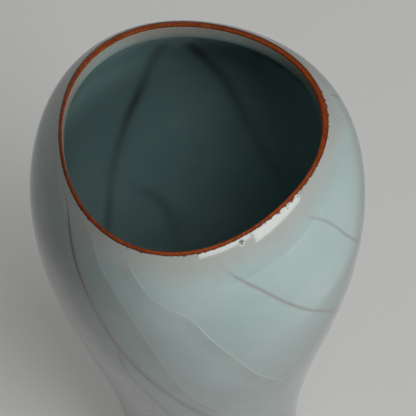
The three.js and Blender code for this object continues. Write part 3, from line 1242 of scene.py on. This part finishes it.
@dataclass
class IronLip:
    """The brown edge of the clay between the two coats: a fine ring with a domed, grainy top."""

    form: VaseForm
    columns: int = 900
    rise: float = 0.9 * MM
    sink: float = 0.1 * MM
    dome_steps: int = 22
    side_steps: int = 4
    grain: float = 0.045 * MM
    grain_length: float = 1.1 * MM
    grain_waves: int = 36
    grain_sink: float = 1.4
    waver: float = 0.12 * MM
    waver_length: float = 22 * MM
    piece: bpy.types.Object = field(init=False)

    def build(self) -> None:
        """Builds the ring: up its outside, over a half ellipse, down its inside and back along its base."""
        form = self.form
        turns = even_turns(self.columns)
        round_base = form.lip_top - self.rise
        side = np.linspace(form.lip_base, round_base, self.side_steps)
        turn = np.linspace(0, pi, self.dome_steps + 1)[1:-1]
        dome = round_base + self.rise * np.sin(turn)
        heights = np.concatenate([side, dome, side[::-1]])
        across = np.concatenate([np.ones(len(side)), np.cos(turn), -np.ones(len(side))])
        outside = (form.clay_outside(heights) + self.sink)[:, None] - form.cover(turns)[None, :]
        inside = (form.clay_inside(heights) + form.inner_cover - self.sink)[:, None]
        radii = (outside + inside) / 2 + across[:, None] * (outside - inside) / 2
        points = form.press(turns[None, :], radii, heights[:, None])
        shown = smooth(heights, round_base - self.rise, round_base + 0.5 * self.rise)
        outward = grid_normals(points)
        bumpy = ripples(points, self.grain_length, seed=8, waves=self.grain_waves)
        bumps = self.grain * bumpy - self.grain_sink * self.grain
        slow = -self.waver * (0.5 + 0.5 * ripples(points, self.waver_length, seed=9))
        points = points + ((bumps + slow) * shown[:, None])[..., None] * outward
        points[..., 2] = np.minimum(points[..., 2], form.lip_top)
        self.piece = turned_mesh("iron_lip_ring", points)
        mark(self.piece, "across", np.broadcast_to(across[:, None], points.shape[:2])[..., None])
        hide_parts("iron_lip")

    def finish(self) -> Iron:
        """Gives the lip's finish."""
        return Iron(
            name="iron_brown_lip",
            slot="iron_lip",
            dark=srgb(40, 15, 5),
            rust=srgb(108, 40, 6),
            glow=srgb(164, 76, 24),
            # Colour of the painted glints.
            pale=srgb(204, 166, 142),
        )


@dataclass
class Foot:
    """The bare turned ring, with fine lines from the turning tool and soft worn edges."""

    form: VaseForm
    columns: int = 240
    ring_width: float = 7 * MM
    soft_edge: float = 1.2 * MM
    step: float = 0.35 * MM
    groove: float = 0.05 * MM
    groove_spacing: float = 1.1 * MM
    uneven_length: float = 7 * MM
    edge_steps: int = 6
    base_steps: int = 12
    piece: bpy.types.Object = field(init=False)

    def build(self) -> None:
        """Builds the ring: up its outside, back along its hidden top, down the recess and along its base."""
        form = self.form
        turns = even_turns(self.columns)
        inner = float(form.coat_back(np.array(0.0))) - self.ring_width
        high = form.ring_top + form.bond_gap
        outer_heights = np.linspace(self.soft_edge, high, round(high / self.step))
        outer = np.column_stack([form.coat_back(outer_heights), outer_heights])
        inner_heights = np.linspace(high, self.soft_edge, round(high / self.step / 2))
        recess = np.column_stack([np.full_like(inner_heights, inner), inner_heights])
        turn = quarter_turn(self.edge_steps)
        into = np.column_stack([
            inner + self.soft_edge * (1 - np.cos(turn)), self.soft_edge * (1 - np.sin(turn))
        ])
        base_ends = inner + self.soft_edge, outer[0, 0] - self.soft_edge
        base_radii = np.linspace(*base_ends, self.base_steps + 2)[1:-1]
        base = np.column_stack([base_radii, np.zeros_like(base_radii)])
        out = np.column_stack([
            outer[0, 0] - self.soft_edge * (1 - np.sin(turn - turn[0])),
            self.soft_edge * (1 - np.cos(turn - turn[0])),
        ])
        outline = np.vstack([outer, recess, into, base, out])
        points = grid_points(form, turns, outline)
        lines = 0.5 + 0.5 * np.cos(FULL_TURN * outline[:, 1] / self.groove_spacing)
        wall = (outline[:, 1] > self.soft_edge) & (outline[:, 1] < form.ring_top)
        uneven = 0.5 * (1 + ripples(points, self.uneven_length, seed=11))
        depth = -self.groove * (lines[:, None] + uneven) * wall[:, None]
        self.piece = turned_mesh("foot_ring_turned", points + depth[..., None] * grid_normals(points))
        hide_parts("foot_ring")

    def finish(self) -> Clay:
        """Gives the bare foot's finish."""
        return Clay("bare_foot_clay", "bare_foot", srgb(112, 74, 54), srgb(70, 44, 32), srgb(146, 112, 88))


@dataclass
class BaseGlaze:
    """The glazed disc in the recess, a little sunk towards its middle."""

    form: VaseForm
    columns: int = 180
    rings: int = 26
    sag: float = 0.25 * MM
    piece: bpy.types.Object = field(init=False)

    def build(self) -> None:
        """Builds the disc: out along its face below, and back along its top."""
        form = self.form
        turns = even_turns(self.columns)
        radii = np.linspace(0, form.base_radius + form.bond_gap, self.rings)[1:]
        face = form.base_bottom + self.sag * (1 - (radii / radii[-1]) ** 2)
        top = np.full_like(radii, form.ring_top)
        outline = np.vstack([np.column_stack([radii, face]), np.column_stack([radii, top])[::-1]])
        poles = (np.array([0, 0, form.base_bottom + self.sag]), np.array([0, 0, form.ring_top]))
        points = grid_points(form, turns, outline)
        self.piece = turned_mesh("base_glaze_disc", points, poles)
        for name in ("stained", "branches", "fresh"):
            mark(self.piece, name, np.broadcast_to(NO_CRACK, points.shape))
        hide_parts("base_glaze")

    def finish(self) -> Celadon:
        """Gives the base's finish: the glaze outside, with no lip and no pool near it."""
        out_of_reach = 1.0
        under_the_foot = -self.form.ring_top
        return Celadon(
            name="base_celadon_glaze",
            slot="base_celadon",
            body=srgb(158, 180, 174),
            deep=srgb(136, 164, 158),
            thin=srgb(150, 150, 140),
            iron=srgb(104, 52, 26),
            stain_and_shade=srgb(92, 80, 78),
            fresh=srgb(205, 222, 218),
            thin_from=out_of_reach,
            thin_full=out_of_reach + MM,
            edge=out_of_reach,
            pool_from=under_the_foot,
        )


@dataclass(frozen=True)
class Softbox:
    """A rectangular lamp that faces the lip, placed by its direction and distance from there."""

    name: str
    azimuth: float
    elevation: float
    distance: float
    width: float
    height: float
    level: float
    lean: float = 0.0
    mirrored: bool = True
    lights: bool = True
    watts_per_level: float = 4.0

    def place(self, target: Vector) -> None:
        """Hangs the lamp; its level is the radiance of its face, where 1 is white."""
        lamp = bpy.data.lights.new(self.name, "AREA")
        lamp.shape = "RECTANGLE"
        lamp.size = self.width
        lamp.size_y = self.height
        lamp.energy = self.level * self.watts_per_level * self.width * self.height
        holder = add_object(self.name, lamp)
        turn, rise = radians(self.azimuth), radians(self.elevation)
        away = Vector((cos(turn) * cos(rise), sin(turn) * cos(rise), sin(rise)))
        holder.location = target + away * self.distance
        holder.rotation_mode = "QUATERNION"
        leaning = Quaternion((0, 0, 1), radians(self.lean))
        holder.rotation_quaternion = (-away).to_track_quat("-Z", "Y") @ leaning
        holder.visible_camera = False
        holder.visible_glossy = self.mirrored
        holder.visible_diffuse = self.lights


@dataclass
class Studio:
    """The floor, the lamps, the world and the camera at the photograph's angle."""

    form: VaseForm
    floor_size: float = 6.0
    floor_colour: Colour = srgb(186, 186, 184)
    floor_shade: Colour = srgb(100, 100, 99)
    floor_glow: float = 0.36
    world_seen: float = 0.4
    world_light: float = 0.05
    camera_distance: float = 0.750
    camera_elevation: float = radians(60.59)
    camera_pitch: float = 0.0340
    camera_yaw: float = 0.00447
    camera_roll: float = -0.0604
    lens: float = 181.45
    sensor: float = 36.0

    def lamps(self) -> tuple[Softbox, ...]:
        """Gives the lamps: a window low at the front right, soft light high above it, and a lamp behind.

        The window's two panes are what the glaze mirrors. Its light comes from three plain lamps.
        The lamp behind stands low at the back left, and shows the sides that the window leaves dark.
        """
        return (
            Softbox("window_left_pane", -60.0, 26.5, 2.4, 1.29, 0.52, 4.7, lean=-9.0, lights=False),
            Softbox("window_right_pane", -31.5, 20.7, 2.4, 0.98, 0.76, 4.7, lean=-7.0, lights=False),
            Softbox("window_left_light", -54.0, 13.0, 2.4, 0.93, 0.9, 6.4, mirrored=False),
            Softbox("window_right_light", -31.0, 11.5, 2.4, 1.0, 0.85, 6.2, mirrored=False),
            Softbox("window_high_light", -46.0, 24.0, 2.4, 1.4, 0.5, 1.2, mirrored=False),
            Softbox("soft_box_front", -48.0, 60.0, 2.2, 0.7, 0.7, 4.2),
            Softbox("soft_box_above", -60.0, 72.0, 2.2, 0.7, 0.7, 4.4),
            Softbox("soft_box_behind", 112.0, -2.0, 2.6, 1.6, 0.38, 8.0),
        )

    def seen(self, sheet: Sheet) -> Socket:
        """Gives 1 for camera, glossy and transmission rays, and 0 for the rays that light the object."""
        path = sheet.node("ShaderNodeLightPath").outputs
        looks = sheet.math("MAXIMUM", path["Is Camera Ray"], path["Is Glossy Ray"])
        return sheet.math("MAXIMUM", looks, path["Is Transmission Ray"])

    def lay_floor(self) -> None:
        """Lays a plain pale floor under the foot."""
        half = self.floor_size / 2
        corners = np.array([(-half, -half, 0), (half, -half, 0), (half, half, 0), (-half, half, 0)])
        mesh = bpy.data.meshes.new("studio_floor")
        mesh.from_pydata(corners.tolist(), [], [(0, 1, 2, 3)])
        floor = add_object("studio_floor", mesh)
        material = bpy.data.materials.new("pale_floor")
        sheet = blank_sheet(material)
        seen = self.seen(sheet)
        colour = sheet.mix(seen, self.floor_shade, self.floor_colour)
        diffuse = sheet.node("ShaderNodeBsdfDiffuse", {0: colour})
        strength = sheet.times(seen, self.floor_glow)
        glow = sheet.node("ShaderNodeEmission", {0: self.floor_colour, 1: strength})
        both = sheet.node("ShaderNodeAddShader", {0: diffuse.outputs[0], 1: glow.outputs[0]})
        sheet.node("ShaderNodeOutputMaterial", {0: both.outputs[0]})
        floor.data.materials.append(material)

    def fill_world(self) -> None:
        """Makes the surroundings a plain grey, paler where they are seen than where they light."""
        world = bpy.data.worlds.new("studio_world")
        sheet = blank_sheet(world)
        share = sheet.times(self.seen(sheet), self.world_seen - self.world_light)
        strength = sheet.plus(share, self.world_light)
        back = sheet.node("ShaderNodeBackground", {0: (1.0, 1.0, 1.0, 1.0), 1: strength})
        sheet.node("ShaderNodeOutputWorld", {0: back.outputs[0]})
        bpy.context.scene.world = world

    def set_camera(self) -> None:
        """Sets the camera: it looks down at the mouth, with a small pitch, yaw and roll."""
        target = Vector((0, 0, self.form.lip_top))
        back = Vector((0, -cos(self.camera_elevation), sin(self.camera_elevation)))
        forward, right = -back, Vector((1, 0, 0))
        up = right.cross(forward)
        pitch, yaw, roll = self.camera_pitch, self.camera_yaw, self.camera_roll
        forward, up = forward * cos(pitch) - up * sin(pitch), up * cos(pitch) + forward * sin(pitch)
        forward, right = forward * cos(yaw) + right * sin(yaw), right * cos(yaw) - forward * sin(yaw)
        right, up = right * cos(roll) + up * sin(roll), up * cos(roll) - right * sin(roll)
        camera = bpy.data.cameras.new("camera")
        camera.lens = self.lens
        camera.sensor_width = self.sensor
        camera.clip_start = 0.01
        holder = add_object("camera", camera)
        turn = Matrix((right, up, -forward)).transposed().to_4x4()
        holder.matrix_world = Matrix.Translation(target + back * self.camera_distance) @ turn
        bpy.context.scene.camera = holder

    def build(self) -> None:
        """Builds the whole studio."""
        self.set_camera()
        self.lay_floor()
        self.fill_world()
        for lamp in self.lamps():
            lamp.place(Vector((0, 0, self.form.lip_top)))
        bpy.context.scene.view_settings.view_transform = "Standard"
        log.info("studio: %d lamps", len(self.lamps()))


def write_sizes() -> None:
    """Brings the view layer up to date."""
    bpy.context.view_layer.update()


def main() -> None:
    """Builds the vase and its studio in order."""
    logging.basicConfig(level=logging.INFO, format="%(name)s %(message)s")
    form = VaseForm.from_frame()
    Studio(form).build()
    effects = Effects()
    for maker in (OuterGlaze, InnerGlaze, IronLip, Foot, BaseGlaze):
        part = maker(form)
        part.build()
        dress(part.piece, part.finish(), effects)
    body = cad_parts["clay_body"]
    stoneware = Clay(
        "stoneware_body", "stoneware", srgb(138, 122, 106), srgb(112, 98, 86), srgb(170, 156, 138)
    )
    dress(body, stoneware, effects)
    log.info("clay_body dressed")
    write_sizes()


if __name__ == "__main__":
    main()
